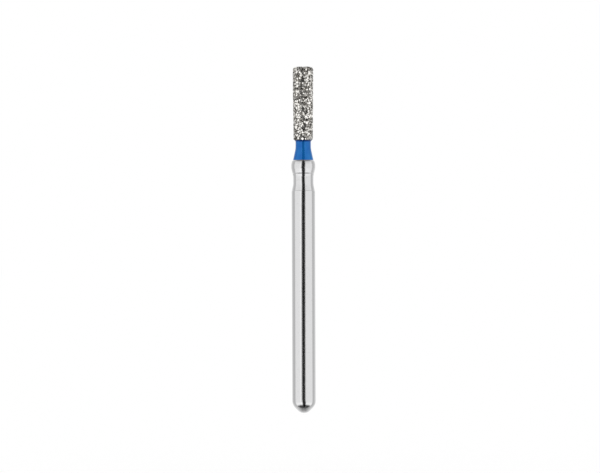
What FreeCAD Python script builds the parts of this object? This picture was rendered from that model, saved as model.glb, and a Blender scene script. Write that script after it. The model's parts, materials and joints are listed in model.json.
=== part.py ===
"""Diamond-coated dental bur with a friction-grip shank, upright, cutting head at the top.

The axis is Z. The origin is on the axis where the straight wall of the shank begins, above
the rounded drive end. Sizes are in millimetres and angles in degrees.

steel_blank   one turned and ground steel piece, from the drive end to the core of the head
diamond_coat  diamond crystals in a plated bond, which cover the core of the head
colour_band   the painted neck, whose colour tells the size of the grit
"""

import FreeCAD, Part

import math
import os
import random

# Shank, which the chuck of the handpiece grips
SHANK_DIAMETER = 1.60
GRIP_LENGTH = 14.29

# Rounded drive end: a domed nose, a cone and a rounded shoulder
NOSE_RADIUS = 0.57
NOSE_CONE_ANGLE = 45.0
DRIVE_SHOULDER_RADIUS = 0.68

# Groove between the shank and the collar
SHANK_EDGE_RADIUS = 0.15
TAPER_LENGTH = 0.51
GROOVE_ENTRY_RADIUS = 0.80
GROOVE_DIAMETER = 1.38
GROOVE_LENGTH = 0.52
GROOVE_EXIT_RADIUS = 0.12

# Collar under the painted neck
COLLAR_RISE_LENGTH = 0.58
COLLAR_LOWER_RADIUS = 0.35
COLLAR_DIAMETER = 1.644
COLLAR_LAND_LENGTH = 0.26
COLLAR_UPPER_RADIUS = 0.18
COLLAR_TOP_DIAMETER = 1.55
COLLAR_TOP_TAPER_LENGTH = 0.20
COLLAR_TOP_RADIUS = 0.10
COLLAR_CHAMFER_LENGTH = 0.14

# Neck under the paint: a flare off the collar, then a straight run up to the head
NECK_FOOT_DIAMETER = 1.31
NECK_FLARE_LENGTH = 0.75
NECK_BEND_RADIUS = 1.20
NECK_DIAMETER = 0.96
NECK_LENGTH = 0.55
PAINT_THICKNESS = 0.03

# Cutting head, measured over its crystals
HEAD_LENGTH = 5.03
HEAD_BASE_DIAMETER = 1.34
HEAD_TIP_DIAMETER = 1.42
HEAD_BASE_CORNER_RADIUS = 0.07
HEAD_TIP_CORNER_RADIUS = 0.18
CORE_CHAMFER = 0.06

# Diamond coat: crystals that stand out of a plated bond
BOND_THICKNESS = 0.11
CRYSTAL_STAND = 0.055
CRYSTAL_SPACING = 0.225
CRYSTAL_TOP_SHARE = 0.55
CRYSTAL_TILT = 12.0
TOP_CORNERS_FEWEST = 3
TOP_CORNERS_MOST = 5
CORNER_JITTER_SHARE = 0.36
STAND_JITTER_SHARE = 0.30
MERGE_SHARE = 0.25
LEAN_SHARE = 0.17
RANDOM_SEED = 7

# Worked out from the sizes above
SHANK_RADIUS = SHANK_DIAMETER / 2
GROOVE_RADIUS = GROOVE_DIAMETER / 2
COLLAR_RADIUS = COLLAR_DIAMETER / 2
COLLAR_TOP_EDGE = COLLAR_TOP_DIAMETER / 2
NECK_FOOT_RADIUS = NECK_FOOT_DIAMETER / 2
NECK_RADIUS = NECK_DIAMETER / 2
COAT_THICKNESS = BOND_THICKNESS + CRYSTAL_STAND
CORE_BASE_RADIUS = HEAD_BASE_DIAMETER / 2 - COAT_THICKNESS
CORE_TIP_RADIUS = HEAD_TIP_DIAMETER / 2 - COAT_THICKNESS

GROOVE_START = GRIP_LENGTH + TAPER_LENGTH
GROOVE_END = GROOVE_START + GROOVE_LENGTH
LAND_START = GROOVE_END + COLLAR_RISE_LENGTH
LAND_END = LAND_START + COLLAR_LAND_LENGTH
CHAMFER_START = LAND_END + COLLAR_TOP_TAPER_LENGTH
NECK_START = CHAMFER_START + COLLAR_CHAMFER_LENGTH
NECK_STRAIGHT_START = NECK_START + NECK_FLARE_LENGTH
HEAD_BASE = NECK_STRAIGHT_START + NECK_LENGTH
HEAD_TIP = HEAD_BASE + HEAD_LENGTH
CORE_TIP = HEAD_TIP - COAT_THICKNESS

SHARP = 0.0
SAME_POINT = 1e-6


def section_point(radius, height):
    """A point of a half section in the XZ plane."""
    return FreeCAD.Vector(radius, 0, height)


def add_line(edges, start, end):
    """Add a straight edge, unless it would have no length."""
    if start.distanceToPoint(end) > SAME_POINT:
        edges.append(Part.LineSegment(start, end).toShape())


def rounded_path(corners):
    """Straight edges through (radius, height, rounding) corners, with an arc at each rounding."""
    points = [section_point(radius, height) for radius, height, _ in corners]
    edges = []
    start = points[0]
    for index in range(1, len(corners) - 1):
        corner = points[index]
        rounding = corners[index][2]
        back = (points[index - 1] - corner).normalize()
        ahead = (points[index + 1] - corner).normalize()
        half_turn = (math.pi - back.getAngle(ahead)) / 2
        arc_start = corner + back * (rounding * math.tan(half_turn))
        arc_end = corner + ahead * (rounding * math.tan(half_turn))
        add_line(edges, start, arc_start)
        if rounding > SHARP:
            inward = (back + ahead).normalize()
            arc_middle = corner + inward * (rounding / math.cos(half_turn) - rounding)
            edges.append(Part.Arc(arc_start, arc_middle, arc_end).toShape())
        start = arc_end
    add_line(edges, start, points[-1])
    return edges


def turned(edges):
    """The solid that a closed half section makes when it is turned about the axis."""
    face = Part.Face(Part.Wire(edges))
    return face.revolve(FreeCAD.Vector(0, 0, 0), FreeCAD.Vector(0, 0, 1), 360)


def drive_end_corners():
    """Corners from the axis up to the shank's wall: the dome closes on the axis."""
    cone = math.radians(NOSE_CONE_ANGLE)
    nose_reach = NOSE_RADIUS * math.tan((math.pi / 2 - cone) / 2)
    shoulder_reach = DRIVE_SHOULDER_RADIUS * math.tan(cone / 2)
    drive_tip = -shoulder_reach - (SHANK_RADIUS - nose_reach) / math.tan(cone)
    return [
        (0, drive_tip, SHARP),
        (nose_reach, drive_tip, NOSE_RADIUS),
        (SHANK_RADIUS, -shoulder_reach, DRIVE_SHOULDER_RADIUS),
    ]


def collar_corners():
    """Corners of the shank's end, the groove and the collar."""
    return [
        (SHANK_RADIUS, GRIP_LENGTH, SHANK_EDGE_RADIUS),
        (GROOVE_RADIUS, GROOVE_START, GROOVE_ENTRY_RADIUS),
        (GROOVE_RADIUS, GROOVE_END, GROOVE_EXIT_RADIUS),
        (COLLAR_RADIUS, LAND_START, COLLAR_LOWER_RADIUS),
        (COLLAR_RADIUS, LAND_END, COLLAR_UPPER_RADIUS),
        (COLLAR_TOP_EDGE, CHAMFER_START, COLLAR_TOP_RADIUS),
    ]


def neck_corners(grow=0.0):
    """Corners of the neck up to the head, or of a surface that lies a little outside it."""
    chamfer_slope = COLLAR_CHAMFER_LENGTH / (COLLAR_TOP_EDGE - NECK_FOOT_RADIUS)
    return [
        (NECK_FOOT_RADIUS + grow, NECK_START - grow * chamfer_slope, SHARP),
        (NECK_RADIUS + grow, NECK_STRAIGHT_START, NECK_BEND_RADIUS),
        (NECK_RADIUS + grow, HEAD_BASE, SHARP),
    ]


def make_steel_blank():
    """One turned piece: drive end, shank, groove, collar, neck and the core of the head."""
    lip_top = HEAD_BASE + BOND_THICKNESS
    corners = drive_end_corners() + collar_corners() + neck_corners()[:-1]
    corners += [
        (NECK_RADIUS, lip_top, SHARP),
        (CORE_BASE_RADIUS, lip_top, SHARP),
        (CORE_TIP_RADIUS, CORE_TIP - CORE_CHAMFER, SHARP),
        (CORE_TIP_RADIUS - CORE_CHAMFER, CORE_TIP, SHARP),
        (0, CORE_TIP, SHARP),
    ]
    edges = rounded_path(corners)
    add_line(edges, section_point(*corners[-1][:2]), section_point(*corners[0][:2]))
    return turned(edges)


def make_colour_band():
    """The paint on the neck, from the collar's chamfer up to the underside of the coat."""
    inner = neck_corners()
    outer = neck_corners(PAINT_THICKNESS)
    edges = rounded_path(inner) + rounded_path(outer)
    for first, second in ((inner[0], outer[0]), (inner[-1], outer[-1])):
        add_line(edges, section_point(*first[:2]), section_point(*second[:2]))
    return turned(Part.__sortEdges__(edges))


class HeadSurface:
    """The bond's surface between the crystals, as a path from its lower edge to the tip's centre."""

    def __init__(self):
        base_radius = HEAD_BASE_DIAMETER / 2 - CRYSTAL_STAND
        tip_radius = HEAD_TIP_DIAMETER / 2 - CRYSTAL_STAND
        tip_height = HEAD_TIP - CRYSTAL_STAND
        corners = [
            (base_radius - HEAD_BASE_CORNER_RADIUS, HEAD_BASE, SHARP),
            (base_radius, HEAD_BASE, HEAD_BASE_CORNER_RADIUS),
            (tip_radius, tip_height, HEAD_TIP_CORNER_RADIUS),
            (0, tip_height, SHARP),
        ]
        self.edges = Part.Wire(rounded_path(corners)).OrderedEdges
        self.length = sum(edge.Length for edge in self.edges)

    def at(self, distance, angle):
        """The point at a distance along the path, turned by an angle about the axis."""
        for edge in self.edges:
            if distance <= edge.Length or edge is self.edges[-1]:
                break
            distance -= edge.Length
        distance = min(max(distance, 0), edge.Length)
        if edge.Orientation == "Reversed":
            distance = edge.Length - distance
        place = edge.valueAt(edge.getParameterByLength(distance))
        return FreeCAD.Vector(place.x * math.cos(angle), place.x * math.sin(angle), place.z)


class CrystalGrid:
    """Staggered rows of cells over the head, one crystal to a cell, with uneven borders."""

    def __init__(self, surface, chance):
        self.surface = surface
        self.chance = chance
        covered = surface.length - CRYSTAL_SPACING / 2
        self.row_count = round(covered / (CRYSTAL_SPACING * math.sqrt(3) / 2))
        self.pitch = covered / self.row_count
        self.rows = []
        for row in range(self.row_count):
            self.rows.append(self.row_borders(row))
        self.rings = [self.ring(row) for row in range(self.row_count + 1)]

    def row_borders(self, row):
        """Angles of the borders between the cells of a row, staggered from the row below."""
        radius = self.surface.at((row + 0.5) * self.pitch, 0).x
        count = max(round(2 * math.pi * radius / CRYSTAL_SPACING), TOP_CORNERS_FEWEST)
        step = 2 * math.pi / count
        borders = []
        for index in range(count):
            angle = (index + row % 2 / 2) * step
            borders.append(self.joined_border(angle, MERGE_SHARE * step))
        return sorted(borders)

    def joined_border(self, angle, reach):
        """The angle of a border in the row below where one is near, or else the angle itself."""
        for other in self.rows[-1] if self.rows else []:
            if abs(math.remainder(other - angle, 2 * math.pi)) < reach:
                return other
        return angle

    def ring(self, row):
        """Corners on the line between two rows, by angle, each with its point in space."""
        below = self.rows[row - 1] if row else []
        above = self.rows[row] if row < self.row_count else []
        angles = sorted(set(below + above))
        corners = {}
        for index, angle in enumerate(angles):
            before = (angle - angles[index - 1]) % (2 * math.pi)
            after = (angles[(index + 1) % len(angles)] - angle) % (2 * math.pi)
            shift = self.chance.uniform(-CORNER_JITTER_SHARE, CORNER_JITTER_SHARE) * min(before, after)
            rise = self.chance.uniform(-CORNER_JITTER_SHARE, CORNER_JITTER_SHARE) / 2
            rise += LEAN_SHARE * ((angle in above) - (angle in below))
            distance = (row + rise) * self.pitch if row else 0
            corners[angle] = self.surface.at(distance, angle + shift)
        return corners

    def cells(self):
        """The border of every cell as a loop of points, and last the round one at the tip."""
        loops = []
        for row, borders in enumerate(self.rows):
            for index, start in enumerate(borders):
                end = borders[(index + 1) % len(borders)]
                lower = self.stretch(self.rings[row], start, end)
                upper = self.stretch(self.rings[row + 1], start, end)
                loops.append(lower + upper[::-1])
        loops.append(list(self.rings[-1].values()))
        return loops

    def stretch(self, ring, start, end):
        """The ring's points from one angle round to another."""
        inside = [angle for angle in ring if start <= angle <= end]
        if end < start:
            inside = [angle for angle in ring if angle >= start]
            inside += [angle for angle in ring if angle <= end]
        return [ring[angle] for angle in inside]

    def base_loop(self):
        """The lowest ring, which bounds the flat underside."""
        return list(self.rings[0].values())


def flat_face(points):
    """A flat face inside a loop of points."""
    return Part.Face(Part.makePolygon(points + points[:1]))


def loop_normal(points):
    """The direction that a loop of points, nearly flat, faces."""
    total = FreeCAD.Vector(0, 0, 0)
    for first, second in zip(points, points[1:] + points[:1]):
        total += first.cross(second)
    return total.normalize()


def crystal_top(loop, carriers, chance):
    """Corners of a crystal's flat top, which leans a little and stands over its cell."""
    centre = sum(loop, FreeCAD.Vector(0, 0, 0)) * (1 / len(loop))
    normal = loop_normal([place - centre for place in loop])
    turn = chance.uniform(0, 2 * math.pi)
    across = FreeCAD.Rotation(FreeCAD.Vector(0, 0, 1), normal).multVec(
        FreeCAD.Vector(math.cos(turn), math.sin(turn), 0)
    )
    slope = across * math.tan(math.radians(chance.uniform(0, CRYSTAL_TILT)))
    offsets = []
    for carrier in sorted(set(carriers)):
        outward = loop[carriers.index(carrier)] - centre
        offsets.append((outward - normal * outward.dot(normal)) * CRYSTAL_TOP_SHARE)
    stand = CRYSTAL_STAND * (1 - chance.uniform(0, STAND_JITTER_SHARE))
    level = stand - max(offset.dot(slope) for offset in offsets)
    return [centre + offset + normal * (level + offset.dot(slope)) for offset in offsets]


def crystal_faces(loop, chance):
    """Faces of one crystal: its top, and walls from there down to the border of its cell."""
    top_count = min(round(chance.triangular(TOP_CORNERS_FEWEST, TOP_CORNERS_MOST)), len(loop))
    first = chance.randrange(len(loop))
    loop = loop[first:] + loop[:first]
    carriers = [index * top_count // len(loop) for index in range(len(loop))]
    top = crystal_top(loop, carriers, chance)
    faces = [flat_face(top)]
    for index, place in enumerate(loop):
        following = (index + 1) % len(loop)
        here, there = top[carriers[index]], top[carriers[following]]
        faces.append(flat_face([place, loop[following], here]))
        if here != there:
            faces.append(flat_face([loop[following], there, here]))
    return faces


def make_diamond_coat(blank):
    """The bond and its crystals as one solid, hollow where the core of the head fills it."""
    chance = random.Random(RANDOM_SEED)
    grid = CrystalGrid(HeadSurface(), chance)
    faces = [flat_face(grid.base_loop())]
    for loop in grid.cells():
        faces += crystal_faces(loop, chance)
    filled = Part.makeSolid(Part.makeShell(faces))
    return filled.cut(blank).Solids[0]


def main():
    """Make each piece and write it to its own file."""
    os.makedirs("parts", exist_ok=True)
    blank = make_steel_blank()
    pieces = {
        "steel_blank": blank,
        "diamond_coat": make_diamond_coat(blank),
        "colour_band": make_colour_band(),
    }
    for name, shape in pieces.items():
        shape.exportStep(f"parts/{name}.step")
        print(name, "valid", shape.isValid(), "solids", len(shape.Solids), "faces", len(shape.Faces))


main()
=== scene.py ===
"""Looks of a diamond-coated dental bur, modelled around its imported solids.

Each sub-assembly is a class that holds its sizes in millimetres and models its own pieces:
the turned steel blank, the painted neck, and the cutting head with its bond and crystals.
Every piece is shaped in millimetres and brought to metres when it is finished.
"""

import json
import logging
import math
import random
from contextlib import contextmanager
from dataclasses import dataclass, field
from enum import Enum
from typing import Iterator

import bpy
from mathutils import Euler, Matrix, Vector


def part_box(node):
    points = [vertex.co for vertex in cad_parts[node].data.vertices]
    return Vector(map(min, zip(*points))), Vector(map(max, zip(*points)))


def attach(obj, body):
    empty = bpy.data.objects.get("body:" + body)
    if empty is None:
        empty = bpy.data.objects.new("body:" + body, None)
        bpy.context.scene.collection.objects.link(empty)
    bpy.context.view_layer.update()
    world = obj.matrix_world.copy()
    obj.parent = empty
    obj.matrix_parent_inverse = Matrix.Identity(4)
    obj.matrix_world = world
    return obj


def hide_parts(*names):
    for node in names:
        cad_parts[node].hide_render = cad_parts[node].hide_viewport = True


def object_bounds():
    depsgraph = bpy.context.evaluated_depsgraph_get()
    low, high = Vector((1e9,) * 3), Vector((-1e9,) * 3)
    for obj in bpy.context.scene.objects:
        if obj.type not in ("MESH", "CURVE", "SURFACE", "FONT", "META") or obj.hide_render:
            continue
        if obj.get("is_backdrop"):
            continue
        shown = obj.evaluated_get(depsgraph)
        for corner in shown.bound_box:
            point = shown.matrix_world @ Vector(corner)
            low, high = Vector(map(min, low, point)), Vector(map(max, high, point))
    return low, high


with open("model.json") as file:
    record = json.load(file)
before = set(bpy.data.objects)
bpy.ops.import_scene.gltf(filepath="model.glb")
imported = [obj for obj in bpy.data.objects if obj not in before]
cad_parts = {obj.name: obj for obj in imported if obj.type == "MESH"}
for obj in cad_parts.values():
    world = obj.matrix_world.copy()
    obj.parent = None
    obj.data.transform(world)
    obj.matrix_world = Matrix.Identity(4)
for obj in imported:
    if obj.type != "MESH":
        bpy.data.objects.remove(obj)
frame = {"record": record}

MM = 0.001
BODY = "root"
LOG = logging.getLogger("bur")

Colour = tuple[float, float, float]
Range = tuple[float, float]
Stops = tuple[tuple[float, float], ...]
Socket = bpy.types.NodeSocket


def millimetres(node: str) -> tuple[Vector, Vector]:
    """The lowest and the highest corner of a node's box, in millimetres."""
    lowest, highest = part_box(node)
    return Vector(lowest) / MM, Vector(highest) / MM


def deselect_all() -> None:
    """Leave object mode's selection empty, so that an operator meets only what follows."""
    bpy.ops.object.select_all(action="DESELECT")


def select_only(piece: bpy.types.Object) -> None:
    """Select one piece, make it the active one and leave all else unselected."""
    deselect_all()
    piece.select_set(True)
    bpy.context.view_layer.objects.active = piece


@contextmanager
def editing(piece: bpy.types.Object) -> Iterator[None]:
    """Hold a piece in edit mode with all of it selected.

    Args:
        piece: The mesh object to edit.
    """
    select_only(piece)
    bpy.ops.object.mode_set(mode="EDIT")
    bpy.ops.mesh.select_all(action="SELECT")
    yield
    bpy.ops.object.mode_set(mode="OBJECT")


def close_skin(join: float) -> None:
    """Merge the doubles of the mesh that is being edited and turn its faces outwards.

    Args:
        join: Points closer than this become one.
    """
    bpy.ops.mesh.select_all(action="SELECT")
    bpy.ops.mesh.remove_doubles(threshold=join)
    bpy.ops.mesh.select_all(action="SELECT")
    bpy.ops.mesh.normals_make_consistent(inside=False)


def dress(piece: bpy.types.Object, material: bpy.types.Material) -> None:
    """Give a piece one material all over."""
    piece.data.materials.clear()
    piece.data.materials.append(material)


def finish_piece(
    piece: bpy.types.Object,
    crease: float,
    material: bpy.types.Material,
    slot: str,
    *nodes: str,
) -> None:
    """Bring a piece to metres, shade and dress it, hang it on the body and hide what it replaces.

    Args:
        piece: The shape, in millimetres.
        crease: Angle, in degrees, past which an edge stays crisp.
        material: What it is dressed in.
        slot: The record's material slot for its finish. Not used.
        nodes: The nodes that it replaces, if any.
    """
    select_only(piece)
    piece.scale = (MM, MM, MM)
    bpy.ops.object.transform_apply(location=False, rotation=False, scale=True)
    bpy.ops.object.shade_smooth_by_angle(angle=math.radians(crease))
    dress(piece, material)
    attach(piece, BODY)
    if nodes:
        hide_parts(*nodes)


def displace(
    piece: bpy.types.Object,
    vertices: list[int],
    size: float,
    strength: float,
    direction: str = "NORMAL",
    level: float = 0.5,
) -> None:
    """Move some of a piece's vertices in and out by a cloudy pattern.

    Args:
        piece: The piece, in millimetres.
        vertices: The vertices that move.
        size: Size of the pattern's features, in millimetres.
        strength: From the lowest to the highest of them, in millimetres.
        direction: The direction that they move in.
        level: The level of the pattern, from 0 to 1, that stays where it is.
    """
    group = piece.vertex_groups.new(name="moved")
    group.add(vertices, 1.0, "REPLACE")
    clouds = bpy.data.textures.new("clouds", "CLOUDS")
    clouds.noise_scale = size
    modifier = piece.modifiers.new("clouds", "DISPLACE")
    modifier.texture = clouds
    modifier.texture_coords = "LOCAL"
    modifier.direction = direction
    modifier.strength = strength
    modifier.mid_level = level
    modifier.vertex_group = group.name
    bpy.context.view_layer.objects.active = piece
    bpy.ops.object.modifier_apply(modifier=modifier.name)
    piece.vertex_groups.clear()
    bpy.data.textures.remove(clouds)


@dataclass(frozen=True)
class Corner:
    """One corner of a half section, in millimetres.

    Attributes:
        radius: Distance from the axis.
        height: Place along the axis.
        rounding: Radius of the arc that rounds it, or 0 where it is sharp.
    """

    radius: float
    height: float
    rounding: float = 0.0

    def place(self) -> Vector:
        """The corner's point in the XZ plane."""
        return Vector((self.radius, 0, self.height))


@dataclass(frozen=True)
class ToolLine:
    """A fine line that a tool leaves round a turned piece, in millimetres.

    Attributes:
        height: Place of its middle along the axis.
        width: Its width along the axis.
        depth: Its depth.
    """

    height: float
    width: float
    depth: float

    def cut(self, corners: list[Corner]) -> list[Corner]:
        """Cut the line into a half section.

        Args:
            corners: The half section, going up at the line's place.

        Returns:
            The section with the line in it.
        """
        above = next(
            index for index, corner in enumerate(corners) if corner.height > self.height
        )
        low, high = corners[above - 1], corners[above]
        slope = (high.radius - low.radius) / (high.height - low.height)
        line = []
        for share, depth in ((-0.5, 0), (0, self.depth), (0.5, 0)):
            height = self.height + share * self.width
            radius = low.radius + slope * (height - low.height) - depth
            line.append(Corner(radius, height))
        return corners[:above] + line + corners[above:]


@dataclass(frozen=True)
class Lathe:
    """Turns half sections about the Z axis.

    Attributes:
        steps: Faces round the axis.
        arc_turn: Largest turn, in degrees, between two faces of a rounded corner.
        fewest_arc_faces: How many faces a rounded corner has at least.
        longest_run: Longest face along the section, in millimetres.
        join: Points closer than this, in millimetres, become one.
    """

    steps: int = 128
    arc_turn: float = 7.0
    fewest_arc_faces: int = 2
    longest_run: float = 1.0
    join: float = 1e-5

    def section(self, corners: list[Corner]) -> list[Vector]:
        """Round the corners and divide the long runs.

        Args:
            corners: The half section from one end to the other.

        Returns:
            Its points in order.
        """
        points = [corners[0].place()]
        for before, corner, after in zip(corners, corners[1:], corners[2:]):
            self.run_to(points, self.arc(before, corner, after))
        self.run_to(points, [corners[-1].place()])
        return points

    def arc(self, before: Corner, corner: Corner, after: Corner) -> list[Vector]:
        """Points of the arc that rounds one corner.

        Args:
            before: The corner before it.
            corner: The corner to round.
            after: The corner after it.

        Returns:
            The arc's points, or the corner itself where it is sharp.
        """
        if not corner.rounding:
            return [corner.place()]
        back = (before.place() - corner.place()).normalized()
        ahead = (after.place() - corner.place()).normalized()
        turn = math.pi - back.angle(ahead)
        inward = (back + ahead).normalized()
        centre = corner.place() + inward * (corner.rounding / math.cos(turn / 2))
        start = corner.place() + back * (corner.rounding * math.tan(turn / 2)) - centre
        side = 1 if back.cross(ahead).y > 0 else -1
        count = max(self.fewest_arc_faces, math.ceil(math.degrees(turn) / self.arc_turn))
        return [
            centre + Matrix.Rotation(-side * turn * index / count, 3, "Y") @ start
            for index in range(count + 1)
        ]

    def run_to(self, points: list[Vector], following: list[Vector]) -> None:
        """Add points, with more between them where a run is long.

        Args:
            points: The section so far, which grows.
            following: The points to add.
        """
        for target in following:
            start = points[-1]
            length = (target - start).length
            if length < self.join:
                continue
            count = math.ceil(length / self.longest_run)
            points += [start.lerp(target, (index + 1) / count) for index in range(count)]

    def turn(self, name: str, corners: list[Corner]) -> bpy.types.Object:
        """Draw a half section point by point and spin it into a closed skin.

        Args:
            name: Name of the piece.
            corners: The half section, closed or with both ends on the axis.

        Returns:
            The turned piece, in millimetres.
        """
        points = self.section(corners)
        deselect_all()
        bpy.ops.mesh.primitive_plane_add(size=1)
        piece = bpy.context.object
        piece.name = piece.data.name = name
        with editing(piece):
            bpy.ops.mesh.merge(type="CENTER")
            bpy.ops.transform.translate(value=points[0])
            for start, end in zip(points, points[1:]):
                bpy.ops.mesh.extrude_region_move(
                    TRANSFORM_OT_translate={"value": end - start}
                )
            bpy.ops.mesh.select_all(action="SELECT")
            bpy.ops.mesh.spin(
                steps=self.steps, angle=math.tau, center=(0, 0, 0), axis=(0, 0, 1)
            )
            close_skin(self.join)
        return piece


class Nodes:
    """A node tree with short ways to add nodes and join their sockets."""

    def __init__(self, tree: bpy.types.NodeTree) -> None:
        """Start from an empty tree of a material or world."""
        self.tree = tree
        self.tree.nodes.clear()

    def add(self, kind: str, inputs: dict | None = None, **settings: object) -> bpy.types.Node:
        """Add one node.

        Args:
            kind: The node's type, without its ShaderNode start.
            inputs: Values or output sockets for its inputs, by name or number.
            settings: Its other properties.

        Returns:
            The new node.
        """
        node = self.tree.nodes.new("ShaderNode" + kind)
        for key, value in settings.items():
            setattr(node, key, value)
        for key, value in (inputs or {}).items():
            if isinstance(value, Socket):
                self.tree.links.new(value, node.inputs[key])
            else:
                node.inputs[key].default_value = value
        return node

    def math(self, operation: str, *values: Socket | float) -> Socket:
        """Work out one number from others, as the Math node does."""
        return self.add("Math", dict(enumerate(values)), operation=operation).outputs[0]

    def ramp(self, factor: Socket, stops: list[tuple[float, Colour]]) -> Socket:
        """Turn a factor from 0 to 1 into a colour.

        Args:
            factor: The socket that drives it.
            stops: Places from 0 to 1, each with its colour.

        Returns:
            The colour's socket.
        """
        node = self.add("ValToRGB", {"Fac": factor})
        elements = node.color_ramp.elements
        while len(elements) < len(stops):
            elements.new(1.0)
        for element, (place, colour) in zip(elements, stops):
            element.position = place
            element.color = (*colour, 1)
        return node.outputs["Color"]

    def noise(
        self, size: float, stretch: tuple[float, float, float] = (1, 1, 1), **inputs: float
    ) -> Socket:
        """Noise on the piece's own coordinates.

        Args:
            size: Size of its features across, in millimetres.
            stretch: How many times longer they are along X, Y and Z.
            inputs: Detail, Roughness or Distortion of the noise.

        Returns:
            The noise's factor, from 0 to 1.
        """
        scale = Vector([1 / (size * MM * part) for part in stretch])
        place = self.add("TexCoord").outputs["Object"]
        mapping = self.add("Mapping", {"Vector": place, "Scale": scale})
        noise = self.add("TexNoise", {"Vector": mapping.outputs[0], "Scale": 1.0, **inputs})
        return noise.outputs["Fac"]

    def spread(self, factor: Socket, low: float, high: float) -> Socket:
        """Spread a factor from 0 to 1 between two numbers."""
        node = self.add("MapRange", {"Value": factor, "To Min": low, "To Max": high})
        return node.outputs["Result"]

    def bump(self, height: Socket, depth: float, strength: float = 0.5) -> Socket:
        """The normal of a relief as deep as depth, in millimetres, from a height of 0 to 1."""
        inputs = {"Height": height, "Distance": depth * MM, "Strength": strength}
        return self.add("Bump", inputs).outputs["Normal"]

    def surface(self, kind: str, inputs: dict, output: str = "OutputMaterial") -> None:
        """Add a shader and join it to the tree's output."""
        shader = self.add(kind, inputs)
        self.add(output, {"Surface": shader.outputs[0]})


def new_material(name: str) -> tuple[bpy.types.Material, Nodes]:
    """Make an empty material.

    Args:
        name: Its name.

    Returns:
        The material and its node tree.
    """
    material = bpy.data.materials.new(name)
    material.use_nodes = True
    return material, Nodes(material.node_tree)


@dataclass(frozen=True)
class GroundSteel:
    """Bright stainless steel, turned and then ground, with fine marks round the axis.

    Attributes:
        colour: Its reflected colour.
        shade: The colour of its faint stains.
        mark_size: Spacing of the grinding marks, in millimetres.
        mark_stretch: How many times longer they are across the axis than along it.
        mark_depth: Depth of the marks, in millimetres.
        roughness: Roughness between the marks and in them.
        stain_size: Size of the stains, in millimetres.
        stain_edge: Level of the noise at which a stain starts and at which it is full.
    """

    colour: Colour = (0.735, 0.735, 0.74)
    shade: Colour = (0.60, 0.60, 0.60)
    mark_size: float = 0.05
    mark_stretch: float = 60.0
    mark_depth: float = 0.0004
    roughness: Range = (0.12, 0.22)
    stain_size: float = 0.16
    stain_edge: Range = (0.60, 0.74)

    def material(self) -> bpy.types.Material:
        """Build the steel's material.

        Returns:
            The material.
        """
        material, nodes = new_material("ground_steel")
        stretch = (self.mark_stretch, self.mark_stretch, 1)
        marks = nodes.noise(self.mark_size, stretch, Detail=3.0)
        stains = nodes.noise(self.stain_size, Detail=4.0, Roughness=0.65)
        start, full = self.stain_edge
        colour = nodes.ramp(stains, [(0.0, self.colour), (start, self.colour), (full, self.shade)])
        tangent = nodes.add("Tangent", direction_type="RADIAL", axis="Z")
        nodes.surface("BsdfPrincipled", {
            "Base Color": colour,
            "Metallic": 1.0,
            "Roughness": nodes.spread(marks, *self.roughness),
            "Anisotropic": 0.7,
            "Anisotropic Rotation": 0.25,
            "Tangent": tangent.outputs[0],
            "Normal": nodes.bump(marks, self.mark_depth),
        })
        return material


@dataclass(frozen=True)
class BluePaint:
    """Glossy translucent blue paint over bright steel.

    Attributes:
        deep: Colour where the paint lies thick.
        light: Colour where it lies thin.
        painted_shade_under_head: Painted shade just under the head, cast by its overhang.
        painted_shade_reach: How far down that painted shade reaches, in millimetres.
        metal_share: How much of the steel beneath shines through.
        cloud_size: Size of the uneven patches, in millimetres.
        cloud_stretch: How many times longer they are along the axis than across it.
        cloud_edge: Level of the noise that gives the deep and that gives the light colour.
        ripple_size: Size of the ripples of its surface, in millimetres.
        ripple_depth: Their depth, in millimetres.
    """

    deep: Colour = (0.002, 0.108, 0.43)
    light: Colour = (0.010, 0.165, 0.49)
    painted_shade_under_head: Colour = (0.001, 0.045, 0.20)
    painted_shade_reach: float = 0.14
    metal_share: float = 0.35
    cloud_size: float = 0.35
    cloud_stretch: float = 2.0
    cloud_edge: Range = (0.3, 0.7)
    ripple_size: float = 0.09
    ripple_depth: float = 0.0012

    def material(self, top: float) -> bpy.types.Material:
        """Build the paint's material.

        Args:
            top: Height of the paint's upper end, in millimetres.

        Returns:
            The material.
        """
        material, nodes = new_material("blue_paint")
        clouds = nodes.noise(self.cloud_size, (1, 1, self.cloud_stretch), Detail=2.0)
        ripples = nodes.noise(self.ripple_size, Detail=1.0)
        # Painted shade: the paint is drawn darker in a band just under the head, as the shade of
        # the head's overhang.
        place = nodes.add("TexCoord").outputs["Object"]
        pool = nodes.add("MapRange", {
            "Value": nodes.add("SeparateXYZ", {0: place}).outputs["Z"],
            "From Min": (top - self.painted_shade_reach) * MM,
            "From Max": top * MM,
        })
        depth = nodes.math("SUBTRACT", clouds, pool.outputs["Result"])
        deep, light = self.cloud_edge
        # The darkest stop is that painted shade; the deep and light stops are the paint's own
        # uneven thickness.
        stops = [(0.0, self.painted_shade_under_head), (deep, self.deep), (light, self.light)]
        nodes.surface("BsdfPrincipled", {
            "Base Color": nodes.ramp(depth, stops),
            "Metallic": self.metal_share,
            "Roughness": 0.13,
            "IOR": 1.42,
            "Normal": nodes.bump(ripples, self.ripple_depth),
        })
        return material


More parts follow.
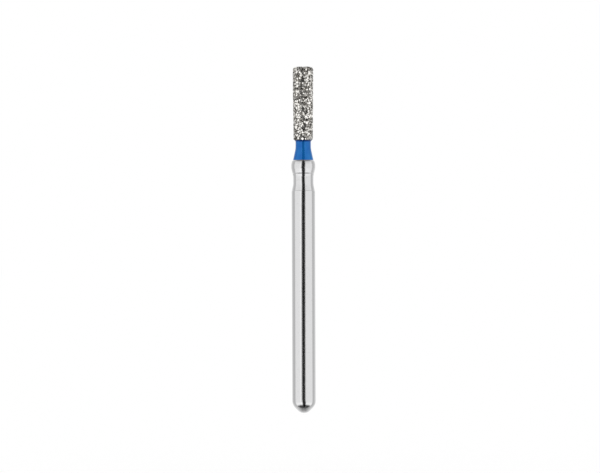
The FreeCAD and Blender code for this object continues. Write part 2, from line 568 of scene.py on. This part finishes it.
@dataclass(frozen=True)
class PlatedBond:
    """Nodular metal plating between the crystals.

    Attributes:
        bright: Colour of its rounded tops.
        dark: Painted shade, the near-black colour drawn into its hollows between the nodules.
        nodule_size: Size of its nodules, in millimetres.
        nodule_depth: Depth of the hollows between them, in millimetres.
        nodule_edge: Level of the noise where the hollows end and where the tops start.
        roughness: Roughness in the hollows and on the tops.
    """

    bright: Colour = (0.40, 0.38, 0.345)
    dark: Colour = (0.03, 0.027, 0.024)
    nodule_size: float = 0.045
    nodule_depth: float = 0.006
    nodule_edge: Range = (0.35, 0.6)
    roughness: Range = (0.42, 0.16)

    def material(self) -> bpy.types.Material:
        """Build the bond's material.

        Returns:
            The material.
        """
        material, nodes = new_material("plated_bond")
        nodules = nodes.noise(self.nodule_size, Detail=5.0, Roughness=0.6)
        # Painted shade: the low parts of the nodule pattern, which the bump sinks, are drawn near
        # black; the tops keep the plating's own colour.
        hollow, top = self.nodule_edge
        nodes.surface("BsdfPrincipled", {
            "Base Color": nodes.ramp(nodules, [(hollow, self.dark), (top, self.bright)]),
            "Metallic": 1.0,
            "Roughness": nodes.spread(nodules, *self.roughness),
            "Normal": nodes.bump(nodules, self.nodule_depth),
        })
        return material


@dataclass(frozen=True)
class DiamondGrit:
    """Grey synthetic diamond with a thin flash of plating on its facets.

    Attributes:
        dull: Colour of the darkest crystals.
        clear: Colour of the brightest ones.
        edge: Tint of glancing reflections, near black as painted shade at the head's outline.
        tone: Name of the mesh attribute that holds each facet's tone, from 0 to 1.
        tone_edge: Tones up to which a facet is dull and from which it is clear.
        growth_size: Size of the growth marks on a facet, in millimetres.
        growth_depth: Their depth, in millimetres.
        roughness: Roughness between the growth marks and in them.
    """

    dull: Colour = (0.23, 0.22, 0.205)
    clear: Colour = (1.0, 0.98, 0.935)
    edge: Colour = (0.02, 0.02, 0.02)
    tone: str = "tone"
    tone_edge: Range = (0.12, 0.42)
    growth_size: float = 0.03
    growth_depth: float = 0.0015
    roughness: Range = (0.02, 0.09)

    def material(self) -> bpy.types.Material:
        """Build the crystals' material.

        Returns:
            The material.
        """
        material, nodes = new_material("diamond_grit")
        tone = nodes.add("Attribute", attribute_name=self.tone).outputs["Fac"]
        growth = nodes.noise(self.growth_size, Detail=2.0)
        dull, clear = self.tone_edge
        nodes.surface("BsdfPrincipled", {
            "Base Color": nodes.ramp(tone, [(dull, self.dull), (clear, self.clear)]),
            "Metallic": 0.95,
            # Painted shade: the near-black glancing tint darkens the crystals towards the head's
            # outline.
            "Specular Tint": (*self.edge, 1),
            "Roughness": nodes.spread(growth, *self.roughness),
            "IOR": 2.42,
            "Normal": nodes.bump(growth, self.growth_depth, strength=0.4),
        })
        return material


@dataclass
class SteelBlank:
    """The turned and ground steel piece, from its drive end to the core of the head.

    Attributes:
        lathe: The lathe that turns it.
        finish: The steel's finish.
        nose_rounding: Radius of the domed nose of the drive end.
        cone_angle: Angle, in degrees, between the axis and the cone above the nose.
        shoulder_rounding: Radius between that cone and the wall of the shank.
        grip_length: From the wall's lower end to the taper.
        grip_rounding: Radius of the edge between the wall and the taper.
        taper_length: From there to the groove.
        taper_rounding: Radius of the hollow between the taper and the groove.
        groove_radius: Radius of the groove.
        groove_length: Length of the groove.
        groove_rounding: Radius of the hollow between the groove and the rise.
        rise_length: From the groove up to the collar's land.
        rise_rounding: Radius of the edge between the rise and the land.
        land_length: Length of the land.
        land_rounding: Radius of the land's upper edge.
        top_radius: Radius of the collar's upper edge.
        top_taper_length: From the land up to that edge.
        top_rounding: Radius of the edge between that taper and the chamfer.
        chamfer_length: From that edge up to the neck.
        neck_foot_radius: Radius of the steel where the neck starts.
        flare_length: From there to the straight neck.
        flare_rounding: Radius of the hollow between the flare and the straight neck.
        neck_radius: Radius of the straight neck under its paint.
        neck_length: Length of the straight neck.
        lip: Thickness of the coat under the head.
        coat: Thickness of the coat at the head's side and tip.
        tool_lines: Fine lines that the tool left round the blank.
        crease: Angle, in degrees, past which an edge stays crisp.
    """

    lathe: Lathe = Lathe()
    finish: GroundSteel = GroundSteel()
    nose_rounding: float = 0.57
    cone_angle: float = 45.0
    shoulder_rounding: float = 0.68
    grip_length: float = 14.29
    grip_rounding: float = 0.15
    taper_length: float = 0.51
    taper_rounding: float = 0.80
    groove_radius: float = 0.69
    groove_length: float = 0.52
    groove_rounding: float = 0.12
    rise_length: float = 0.58
    rise_rounding: float = 0.35
    land_length: float = 0.26
    land_rounding: float = 0.18
    top_radius: float = 0.775
    top_taper_length: float = 0.20
    top_rounding: float = 0.10
    chamfer_length: float = 0.14
    neck_foot_radius: float = 0.655
    flare_length: float = 0.75
    flare_rounding: float = 1.20
    neck_radius: float = 0.48
    neck_length: float = 0.55
    lip: float = 0.11
    coat: float = 0.165
    tool_lines: tuple[ToolLine, ...] = (
        ToolLine(14.39, 0.05, 0.011), ToolLine(15.54, 0.07, 0.020), ToolLine(0.02, 0.03, 0.004),
    )
    crease: float = 14.0

    def __post_init__(self) -> None:
        """Read the radii that the frame states, and stack the lengths along the axis."""
        self.shank_radius = frame["record"]["mounts"][0]["dims"]["r_mm"]
        self.collar_radius = millimetres("steel_blank")[1].x
        self.groove_start = self.grip_length + self.taper_length
        self.groove_end = self.groove_start + self.groove_length
        self.land_start = self.groove_end + self.rise_length
        self.land_end = self.land_start + self.land_length
        self.chamfer_start = self.land_end + self.top_taper_length
        self.neck_start = self.chamfer_start + self.chamfer_length
        self.neck_straight = self.neck_start + self.flare_length
        self.neck_end = self.neck_straight + self.neck_length

    def drive_end(self) -> list[Corner]:
        """Work out the drive end.

        Returns:
            Its corners from the axis to the shank's wall.
        """
        cone = math.radians(self.cone_angle)
        nose_reach = self.nose_rounding * math.tan((math.pi / 2 - cone) / 2)
        shoulder = -self.shoulder_rounding * math.tan(cone / 2)
        tip = shoulder - (self.shank_radius - nose_reach) / math.tan(cone)
        return [
            Corner(0, tip),
            Corner(nose_reach, tip, self.nose_rounding),
            Corner(self.shank_radius, shoulder, self.shoulder_rounding),
        ]

    def collar(self) -> list[Corner]:
        """Corners of the taper, the groove and the collar."""
        return [
            Corner(self.shank_radius, self.grip_length, self.grip_rounding),
            Corner(self.groove_radius, self.groove_start, self.taper_rounding),
            Corner(self.groove_radius, self.groove_end, self.groove_rounding),
            Corner(self.collar_radius, self.land_start, self.rise_rounding),
            Corner(self.collar_radius, self.land_end, self.land_rounding),
            Corner(self.top_radius, self.chamfer_start, self.top_rounding),
        ]

    def neck(self, grow: float = 0.0) -> list[Corner]:
        """Foot, bend and upper end of the neck, or of a surface that grows round it."""
        drop = grow * self.chamfer_length / (self.top_radius - self.neck_foot_radius)
        return [
            Corner(self.neck_foot_radius + grow, self.neck_start - drop),
            Corner(self.neck_radius + grow, self.neck_straight, self.flare_rounding),
            Corner(self.neck_radius + grow, self.neck_end),
        ]

    def core(self, head: "CuttingHead") -> list[Corner]:
        """Corners of the core inside the head's coat, from the neck to the axis."""
        return [
            Corner(self.neck_radius, self.neck_end + self.lip),
            Corner(head.base_radius - self.coat, self.neck_end + self.lip),
            Corner(head.tip_radius - self.coat, head.tip - self.coat),
            Corner(0, head.tip - self.coat),
        ]

    def build(self, head: "CuttingHead") -> bpy.types.Object:
        """Turn the blank.

        Args:
            head: The head, whose core the blank holds.

        Returns:
            The finished piece.
        """
        corners = self.drive_end() + self.collar() + self.neck()[:-1] + self.core(head)
        for line in self.tool_lines:
            corners = line.cut(corners)
        piece = self.lathe.turn("ground_blank", corners)
        finish_piece(piece, self.crease, self.finish.material(), "steel", "steel_blank")
        return piece


@dataclass
class PaintedNeck:
    """The paint on the neck, which tells the size of the grit.

    Attributes:
        blank: The steel blank that carries it.
        lathe: The lathe that turns it.
        finish: The paint's finish.
        thickness: Thickness of the paint.
        pool: How far it pools out and down under the head.
        pool_rounding: Radius of the hollow where the pool starts.
        edge_rounding: Radius of its lower edge.
        waver: How far the brush let the lower edge wander up and down.
        waver_size: Size of the waves of that edge.
        crease: Angle, in degrees, past which an edge stays crisp.
    """

    blank: SteelBlank
    lathe: Lathe = Lathe(longest_run=0.08)
    finish: BluePaint = BluePaint()
    thickness: float = 0.045
    pool: float = 0.07
    pool_rounding: float = 0.05
    edge_rounding: float = 0.003
    waver: float = 0.05
    waver_size: float = 0.25
    crease: float = 40.0

    def build(self) -> bpy.types.Object:
        """Turn the paint's sleeve.

        Returns:
            The finished piece.
        """
        inner = self.blank.neck()
        foot, bend, end = self.blank.neck(self.thickness)
        corners = [
            inner[0],
            Corner(foot.radius, foot.height, self.edge_rounding),
            bend,
            Corner(end.radius, end.height - self.pool, self.pool_rounding),
            Corner(end.radius + self.pool, end.height),
            *inner[:0:-1],
            inner[0],
        ]
        piece = self.lathe.turn("neck_paint", corners)
        reach = foot.height + self.waver
        low = [vertex.index for vertex in piece.data.vertices if vertex.co.z < reach]
        displace(piece, low, size=self.waver_size, strength=self.waver, direction="Z")
        paint = self.finish.material(end.height)
        finish_piece(piece, self.crease, paint, "blue_paint", "colour_band")
        return piece


class CrystalHabit(Enum):
    """The forms that crushed and grown diamond crystals take."""

    CUT_CUBE = "cube with cut corners"
    CUT_OCTAHEDRON = "octahedron with cut tips"
    SHARD = "broken shard"


@dataclass(frozen=True)
class CrystalMaker:
    """Models single crystals about one unit across, with all its lengths in that unit.

    Attributes:
        cube: Width of a cube.
        octahedron: Distance of an octahedron's tips from the centre.
        shard: Radius of the ball that a shard is broken from.
        corner_cut: Length that is cut from the edges at each corner of a grown crystal.
        break_count: Flat breaks of a shard.
        break_reach: Distance of a break from the centre.
        break_spread: Shares of that distance between which chance picks.
        top: Height of the flat face on top, over the centre.
        join: Points closer than this become one.
    """

    cube: float = 0.8
    octahedron: float = 0.6
    shard: float = 0.52
    corner_cut: float = 0.12
    break_count: int = 5
    break_reach: float = 0.40
    break_spread: Range = (0.85, 1.15)
    top: float = 0.25
    join: float = 0.01

    def model(self, habit: CrystalHabit, chance: random.Random) -> bpy.types.Object:
        """Model one crystal.

        Args:
            habit: Its form.
            chance: The source of its chance breaks.

        Returns:
            The crystal, about one unit across, at the origin.
        """
        deselect_all()
        if habit is CrystalHabit.CUT_CUBE:
            bpy.ops.mesh.primitive_cube_add(size=self.cube)
        elif habit is CrystalHabit.CUT_OCTAHEDRON:
            bpy.ops.mesh.primitive_uv_sphere_add(
                segments=4, ring_count=2, radius=self.octahedron
            )
        else:
            bpy.ops.mesh.primitive_ico_sphere_add(subdivisions=1, radius=self.shard)
        crystal = bpy.context.object
        with editing(crystal):
            if habit is CrystalHabit.SHARD:
                for _ in range(self.break_count):
                    self.break_off(chance)
            else:
                bpy.ops.mesh.bevel(offset=self.corner_cut, affect="VERTICES")
            self.cut(Vector((0, 0, 1)), self.top)
            close_skin(self.join)
        return crystal

    def break_off(self, chance: random.Random) -> None:
        """Cut one chance break across the crystal that is being edited."""
        direction = Vector([chance.gauss(0, 1) for _ in range(3)]).normalized()
        self.cut(direction, self.break_reach * chance.uniform(*self.break_spread))

    def cut(self, direction: Vector, reach: float) -> None:
        """Cut the crystal that is being edited flat, at a reach from its centre."""
        bpy.ops.mesh.select_all(action="SELECT")
        bpy.ops.mesh.bisect(
            plane_co=direction * reach, plane_no=direction, use_fill=True, clear_outer=True
        )


@dataclass(frozen=True)
class Spot:
    """A place for one crystal.

    Attributes:
        place: The point on the bond, in millimetres.
        outward: The direction away from the bond.
        size: The crystal's size across, in millimetres.
    """

    place: Vector
    outward: Vector
    size: float


@dataclass
class CuttingHead:
    """The head's plated bond and the diamond crystals that stand out of it.

    Attributes:
        blank: The steel blank whose core carries it.
        lathe: The lathe that turns the bond.
        bond_finish: The bond's finish.
        grit_finish: The crystals' finish.
        maker: What models the crystals.
        base_radius: Radius at the lower end, over the crystals.
        tip_radius: Radius at the tip, over the crystals.
        base_rounding: Radius of the lower edge of the bond.
        tip_rounding: Radius of the upper edge of the bond.
        stand: Height of the largest crystals over the bond.
        stand_spread: Shares of that height between which chance picks.
        shown: Share of its size by which a crystal stands out of the bond.
        grades: Size of each grade of crystal, with the tries to find room for one.
        grade_spread: Shares of a grade's size between which chance picks.
        room: Share of two crystals' mean size that their centres keep between them.
        stock: How many crystals of each habit are modelled and then copied.
        stretch: Shares of its size between which chance picks each width of a crystal.
        lying_share: Share of the crystals that lie with a flat face up.
        lying_tilt: Usual lean, in degrees, of such a face.
        standing_tilt: Usual lean of the other crystals.
        nodule_height: Height of the bond's nodules.
        nodule_size: Width of the bond's nodules.
        nodule_level: Level of their pattern, from 0 to 1, that keeps the turned surface.
        bond_crease: Angle, in degrees, past which an edge of the bond stays crisp.
        seed: Start of the chance that shapes and places the crystals.
    """

    blank: SteelBlank
    lathe: Lathe = Lathe(steps=144, longest_run=0.04)
    bond_finish: PlatedBond = PlatedBond()
    grit_finish: DiamondGrit = DiamondGrit()
    maker: CrystalMaker = CrystalMaker()
    base_radius: float = 0.67
    tip_radius: float = 0.71
    base_rounding: float = 0.06
    tip_rounding: float = 0.14
    stand: float = 0.075
    stand_spread: Range = (0.88, 1.0)
    shown: float = 0.62
    grades: tuple[tuple[float, int], ...] = (
        (0.19, 900), (0.165, 3500), (0.135, 8000), (0.11, 9000),
    )
    grade_spread: Range = (0.88, 1.12)
    room: float = 0.70
    stock: tuple[tuple[CrystalHabit, int], ...] = (
        (CrystalHabit.CUT_CUBE, 2), (CrystalHabit.CUT_OCTAHEDRON, 2), (CrystalHabit.SHARD, 5),
    )
    stretch: Range = (0.8, 1.15)
    lying_share: float = 0.65
    lying_tilt: float = 10.0
    standing_tilt: float = 32.0
    nodule_height: float = 0.014
    nodule_size: float = 0.07
    nodule_level: float = 0.9
    bond_crease: float = 50.0
    seed: int = 4

    def __post_init__(self) -> None:
        """Read the head's ends from the frame, and start the chance."""
        self.base = millimetres("diamond_coat")[0].z
        self.tip = millimetres("diamond_coat")[1].z
        self.chance = random.Random(self.seed)

    def skin_corners(self) -> list[Corner]:
        """Corners of the bond's outer surface, from the neck to the axis."""
        return [
            Corner(self.blank.neck_radius, self.base),
            Corner(self.base_radius - self.stand, self.base, self.base_rounding),
            Corner(self.tip_radius - self.stand, self.tip - self.stand, self.tip_rounding),
            Corner(0, self.tip - self.stand),
        ]

    def build_bond(self) -> bpy.types.Object:
        """Turn the bond's shell and roughen its outside.

        Returns:
            The finished piece.
        """
        corners = self.blank.core(self)[::-1] + self.skin_corners()
        piece = self.lathe.turn("plated_bond", corners)
        self.roughen(piece)
        bond = self.bond_finish.material()
        finish_piece(piece, self.bond_crease, bond, "diamond_coat", "diamond_coat")
        return piece

    def roughen(self, piece: bpy.types.Object) -> None:
        """Push the outside of the bond in and out in small nodules.

        Args:
            piece: The turned bond.
        """
        widest = self.tip_radius - self.blank.coat + self.nodule_height
        highest = self.tip - self.blank.coat + self.nodule_height
        outside = [
            vertex.index
            for vertex in piece.data.vertices
            if vertex.co.z > self.base + self.base_rounding
            and (vertex.co.xy.length > widest or vertex.co.z > highest)
        ]
        displace(
            piece,
            outside,
            size=self.nodule_size,
            strength=self.nodule_height,
            level=self.nodule_level,
        )

    def find_spots(self) -> list[Spot]:
        """Find room for the crystals, the largest first.

        Returns:
            Their spots on the bond.
        """
        outline = self.lathe.section(self.skin_corners()[1:])
        outline = [place for place in outline if place.z > self.base + self.base_rounding]
        runs = list(zip(outline, outline[1:]))
        areas = [(first.x + second.x) * (second - first).length for first, second in runs]
        spots: list[Spot] = []
        for size, tries in self.grades:
            for first, second in self.chance.choices(runs, areas, k=tries):
                spread = self.chance.uniform(*self.grade_spread)
                spot = self.spot_on(first, second, size * spread)
                if all(self.apart(spot, other) for other in spots):
                    spots.append(spot)
        return spots

    def spot_on(self, first: Vector, second: Vector, size: float) -> Spot:
        """A chance spot on one ring of the bond.

        Args:
            first: The ring's lower edge in the XZ plane.
            second: Its upper edge.
            size: The crystal's size.

        Returns:
            The spot.
        """
        along = second - first
        outward = Vector((along.z, 0, -along.x)).normalized()
        turn = Matrix.Rotation(self.chance.uniform(0, math.tau), 3, "Z")
        place = first.lerp(second, self.chance.random())
        return Spot(turn @ place, turn @ outward, size)

    def apart(self, spot: Spot, other: Spot) -> bool:
        """Whether two crystals have room beside each other."""
        return (spot.place - other.place).length > self.room * (spot.size + other.size) / 2

    def build_crystals(self) -> bpy.types.Object:
        """Set a copy of a modelled crystal at each spot and join them.

        Returns:
            The finished piece.
        """
        stock = [
            self.maker.model(habit, self.chance)
            for habit, count in self.stock
            for _ in range(count)
        ]
        crystals = [
            self.set_crystal(self.chance.choice(stock), spot) for spot in self.find_spots()
        ]
        for model in stock:
            bpy.data.objects.remove(model)
        deselect_all()
        for crystal in crystals:
            crystal.select_set(True)
        bpy.context.view_layer.objects.active = crystals[0]
        bpy.ops.object.join()
        piece = crystals[0]
        piece.name = piece.data.name = "diamond_crystals"
        bpy.ops.object.transform_apply(location=True, rotation=True, scale=True)
        finish_piece(piece, 0.0, self.grit_finish.material(), "diamond_coat")
        LOG.info("set %d crystals", len(crystals))
        return piece

    def set_crystal(self, model: bpy.types.Object, spot: Spot) -> bpy.types.Object:
        """Copy a crystal, turn it at random and seat it in the bond.

        Args:
            model: The crystal to copy.
            spot: Where it goes.

        Returns:
            The copy, with its own mesh.
        """
        crystal = model.copy()
        crystal.data = model.data.copy()
        bpy.context.collection.objects.link(crystal)
        lying = self.chance.random() < self.lying_share
        usual = math.radians(self.lying_tilt if lying else self.standing_tilt)
        tilt = [self.chance.gauss(0, usual) for _ in range(2)]
        turn = Euler((*tilt, self.chance.uniform(0, math.tau))).to_matrix()
        turn = spot.outward.to_track_quat("Z", "Y").to_matrix() @ turn
        widths = [spot.size * self.chance.uniform(*self.stretch) for _ in range(3)]
        form = turn @ Matrix.Diagonal(widths)
        reach = max((form @ vertex.co).dot(spot.outward) for vertex in crystal.data.vertices)
        stand = min(self.stand, spot.size * self.shown) * self.chance.uniform(*self.stand_spread)
        place = spot.place + spot.outward * (stand - reach)
        top = place.z + max((form @ vertex.co).z for vertex in crystal.data.vertices)
        place.z -= max(0.0, top - self.tip)
        crystal.matrix_world = Matrix.Translation(place) @ form.to_4x4()
        tones = crystal.data.attributes.new(self.grit_finish.tone, "FLOAT", "FACE")
        for facet in sorted(crystal.data.polygons, key=self.rank):
            tones.data[facet.index].value = self.chance.random()
        return crystal

    def rank(self, facet: bpy.types.MeshPolygon) -> tuple[float, ...]:
        """A facet's place in its crystal, because its number can change from run to run."""
        return tuple(round(value, 3) for value in facet.center)


@dataclass
class LightTent:
    """A round white tent about the bur, which only polished surfaces show.

    Its slit, where the camera looks in, gives the dark line down the steel.

    Attributes:
        radius: Radius of the tent, in millimetres.
        around: Share of the brightness, by the angle to the right of the front.
        bend: How far all this turns to the left, in degrees, by the angle above the horizon.
        front: Brightness of the front half, by the angle above the horizon.
        back: The same for the back half.
        seam: Where the front half ends and the back half starts, as shares of the radius
            behind the centre.
    """

    radius: float = 500.0
    around: Stops = (
        (-180, 1.50), (-155, 1.40), (-115, 0.98), (-40, 1.0), (-33, 1.0), (-27, 1.24),
        (-20, 1.10), (-12, 0.02), (16, 0.02), (22.5, 1.04), (29.5, 0.99), (115, 0.98),
        (155, 1.40), (180, 1.50),
    )
    bend: Stops = ((-90, 0), (-13, 0), (-8, 11), (1, 0), (90, 0))
    front: Stops = (
        (-90, 0.22), (-84, 0.06), (-50, 0.05), (-42, 1.0), (-36, 1.20), (-22, 1.16),
        (-15, 1.0), (20, 1.0), (26, 0.93), (31, 0.78), (40, 0.60), (54, 0.40), (90, 0.2),
    )
    back: Stops = (
        (-90, 0.42), (-70, 0.43), (-45, 0.62), (-10, 0.62), (40, 0.60), (60, 0.3), (90, 0.2),
    )
    seam: Range = (0.01, 0.12)

    def build(self, centre: Vector) -> None:
        """Put up the tent.

        Args:
            centre: The bur's centre, in metres.
        """
        deselect_all()
        bpy.ops.mesh.primitive_uv_sphere_add(radius=self.radius * MM, location=centre)
        tent = bpy.context.object
        tent.name = "light_tent"
        for kind in ("camera", "diffuse", "transmission", "shadow", "volume_scatter"):
            setattr(tent, "visible_" + kind, False)
        dress(tent, self.material())
        tent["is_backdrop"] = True

    def material(self) -> bpy.types.Material:
        """Build the tent's glow, by the place on its wall.

        Returns:
            The material.
        """
        material, nodes = new_material("tent_wall")
        place = nodes.add("TexCoord").outputs["Object"]
        place = nodes.add("VectorMath", {0: place}, operation="NORMALIZE").outputs[0]
        axes = nodes.add("SeparateXYZ", {0: place}).outputs
        ahead = nodes.math("MULTIPLY", axes["Y"], -1.0)
        angle = nodes.math("ARCTAN2", axes["X"], ahead)
        height = nodes.math("ARCSINE", axes["Z"])
        bend = nodes.math("RADIANS", self.level(nodes, height, self.bend))
        around = self.level(nodes, nodes.math("ADD", angle, bend), self.around)
        front = self.level(nodes, height, self.front)
        back = self.level(nodes, height, self.back)
        share = nodes.add("MapRange", {
            "Value": axes["Y"],
            "From Min": self.seam[0],
            "From Max": self.seam[1],
        }).outputs["Result"]
        halves = nodes.add("Mix", {"Factor": share, "A": front, "B": back}).outputs["Result"]
        glow = nodes.math("MULTIPLY", around, halves)
        nodes.surface("Emission", {"Color": (1, 1, 1, 1), "Strength": glow})
        material.cycles.emission_sampling = "NONE"
        return material

    def level(self, nodes: Nodes, angle: Socket, stops: Stops) -> Socket:
        """Read a level from an angle.

        Args:
            nodes: The tree to add to.
            angle: The angle, in radians.
            stops: Angles in degrees, each with its level.

        Returns:
            The level's socket.
        """
        first, last = stops[0][0], stops[-1][0]
        limits = {"From Min": math.radians(first), "From Max": math.radians(last)}
        factor = nodes.add("MapRange", {"Value": angle, **limits}).outputs["Result"]
        grey = [((at - first) / (last - first), (level,) * 3) for at, level in stops]
        return nodes.ramp(factor, grey)


@dataclass
class Studio:
    """The pale floor and the even white light.

    Attributes:
        tent: The light tent.
        floor_size: Width of the floor, in millimetres.
        floor_drop: Distance from the drive end down to the floor.
        floor_colour: The floor's colour.
    """

    tent: LightTent = field(default_factory=LightTent)
    floor_size: float = 2000.0
    floor_drop: float = 5.0
    floor_colour: Colour = (1.0, 1.0, 1.0)

    def build(self, lowest: Vector, centre: Vector) -> None:
        """Lay the floor, put up the tent and light the set.

        Args:
            lowest: The bur's lowest corner, in metres.
            centre: The bur's centre, in metres.
        """
        deselect_all()
        height = lowest.z - self.floor_drop * MM
        bpy.ops.mesh.primitive_plane_add(size=self.floor_size * MM, location=(0, 0, height))
        floor = bpy.context.object
        floor.name = "floor"
        floor.visible_glossy = False
        material, nodes = new_material("pale_floor")
        nodes.surface("BsdfDiffuse", {"Color": (*self.floor_colour, 1)})
        dress(floor, material)
        floor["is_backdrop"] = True
        self.tent.build(centre)
        self.light()

    def light(self) -> None:
        """Light the set evenly from all round, at a strength of one."""
        world = bpy.data.worlds.new("white_studio")
        world.use_nodes = True
        Nodes(world.node_tree).surface("Background", {"Color": (1, 1, 1, 1)}, "OutputWorld")
        world.cycles.sampling_method = "NONE"
        bpy.context.scene.world = world


@dataclass
class PhotoCamera:
    """The camera of the photograph: level, straight in front of the bur.

    Pixels are those of the photograph.

    Attributes:
        frame_width: Width of the photograph.
        frame_height: Its height.
        tip_y: The tip of the head.
        drive_y: The drive end.
        axis_x: The bur's axis at half its height.
        lean: How far the bur leans to the left, in degrees.
        lens: Focal length, in millimetres.
        sensor: Width of the sensor, in millimetres.
        nearest: Distance from which the camera sees things, in millimetres.
    """

    frame_width: int = 600
    frame_height: int = 473
    tip_y: float = 66.9
    drive_y: float = 413.0
    axis_x: float = 303.5
    lean: float = 0.19
    lens: float = 150.0
    sensor: float = 36.0
    nearest: float = 10.0

    def build(self, lowest: Vector, highest: Vector) -> None:
        """Place the camera so that the bur fills the frame as it does in the photograph.

        Args:
            lowest: The bur's lowest corner, in metres.
            highest: Its highest corner.
        """
        pixel = (highest.z - lowest.z) / (self.drive_y - self.tip_y)
        distance = pixel * self.frame_width * self.lens / self.sensor
        across = (self.frame_width / 2 - self.axis_x) * pixel
        up = ((self.tip_y + self.drive_y) / 2 - self.frame_height / 2) * pixel
        middle = (lowest.z + highest.z) / 2
        data = bpy.data.cameras.new("photo_camera")
        data.lens = self.lens
        data.sensor_width = self.sensor
        data.clip_start = self.nearest * MM
        camera = bpy.data.objects.new("photo_camera", data)
        bpy.context.collection.objects.link(camera)
        camera.location = (across, -distance, middle + up)
        camera.rotation_euler = Euler((math.pi / 2, math.radians(self.lean), 0))
        bpy.context.scene.camera = camera


def main() -> None:
    """Build the bur's pieces in order, then the studio and the camera."""
    logging.basicConfig(level=logging.INFO, format="%(message)s")
    cad_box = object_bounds()
    lowest, highest = (Vector(corner) for corner in cad_box)
    blank = SteelBlank()
    head = CuttingHead(blank)
    for piece in (
        blank.build(head),
        PaintedNeck(blank).build(),
        head.build_bond(),
        head.build_crystals(),
    ):
        LOG.info("built %s with %d faces", piece.name, len(piece.data.polygons))
    PhotoCamera().build(lowest, highest)
    Studio().build(lowest, (lowest + highest) / 2)
    bpy.context.scene.view_settings.view_transform = "Standard"


if __name__ == "__main__":
    main()
